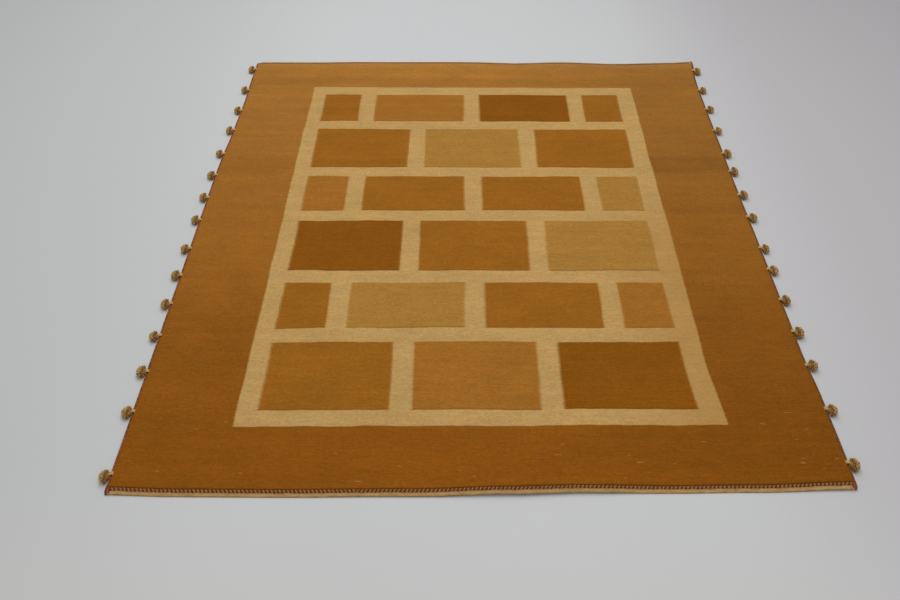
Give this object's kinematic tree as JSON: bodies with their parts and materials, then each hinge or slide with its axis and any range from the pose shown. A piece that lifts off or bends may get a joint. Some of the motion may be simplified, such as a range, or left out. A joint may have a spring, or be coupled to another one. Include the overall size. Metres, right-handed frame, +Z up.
{
  "type": "hand-knotted wool rug with pompoms along its sides",
  "caption": "Flat brown and cream hand-knotted wool rug with flat-woven hems, twined ends, overcast sides and small pompoms tied along both long sides.",
  "frame": {"origin": "on the floor under the middle of the rug and its pompoms", "axes": "+X to the right, +Y from the near end to the far end, +Z up off the floor"},
  "size_m": [1.7513, 2.0212, 0.0233],
  "materials": {
    "field_wool": "matte short wool pile with uneven dye bands; cream bars and brown blocks inside a plain border",
    "binding_wool": "matte overcast wool in salmon and dark red-brown",
    "chain_wool": "matte twined wool in dark red-brown and salmon",
    "pompom_wool": "matte cut wool yarn, tan"
  },
  "bodies": {
    "root": {"cloth": "field_wool", "binding_left": "binding_wool", "binding_right": "binding_wool", "chain_front": "chain_wool", "chain_back": "chain_wool", "pompom_left_01": "pompom_wool", "pompom_left_02": "pompom_wool", "pompom_left_03": "pompom_wool", "pompom_left_04": "pompom_wool", "pompom_left_05": "pompom_wool", "pompom_left_06": "pompom_wool", "pompom_left_07": "pompom_wool", "pompom_left_08": "pompom_wool", "pompom_left_09": "pompom_wool", "pompom_left_10": "pompom_wool", "pompom_left_11": "pompom_wool", "pompom_left_12": "pompom_wool", "pompom_left_13": "pompom_wool", "pompom_left_14": "pompom_wool", "pompom_left_15": "pompom_wool", "pompom_right_01": "pompom_wool", "pompom_right_02": "pompom_wool", "pompom_right_03": "pompom_wool", "pompom_right_04": "pompom_wool", "pompom_right_05": "pompom_wool", "pompom_right_06": "pompom_wool", "pompom_right_07": "pompom_wool", "pompom_right_08": "pompom_wool", "pompom_right_09": "pompom_wool", "pompom_right_10": "pompom_wool", "pompom_right_11": "pompom_wool", "pompom_right_12": "pompom_wool", "pompom_right_13": "pompom_wool", "pompom_right_14": "pompom_wool", "pompom_right_15": "pompom_wool"}
  },
  "joints": []
}
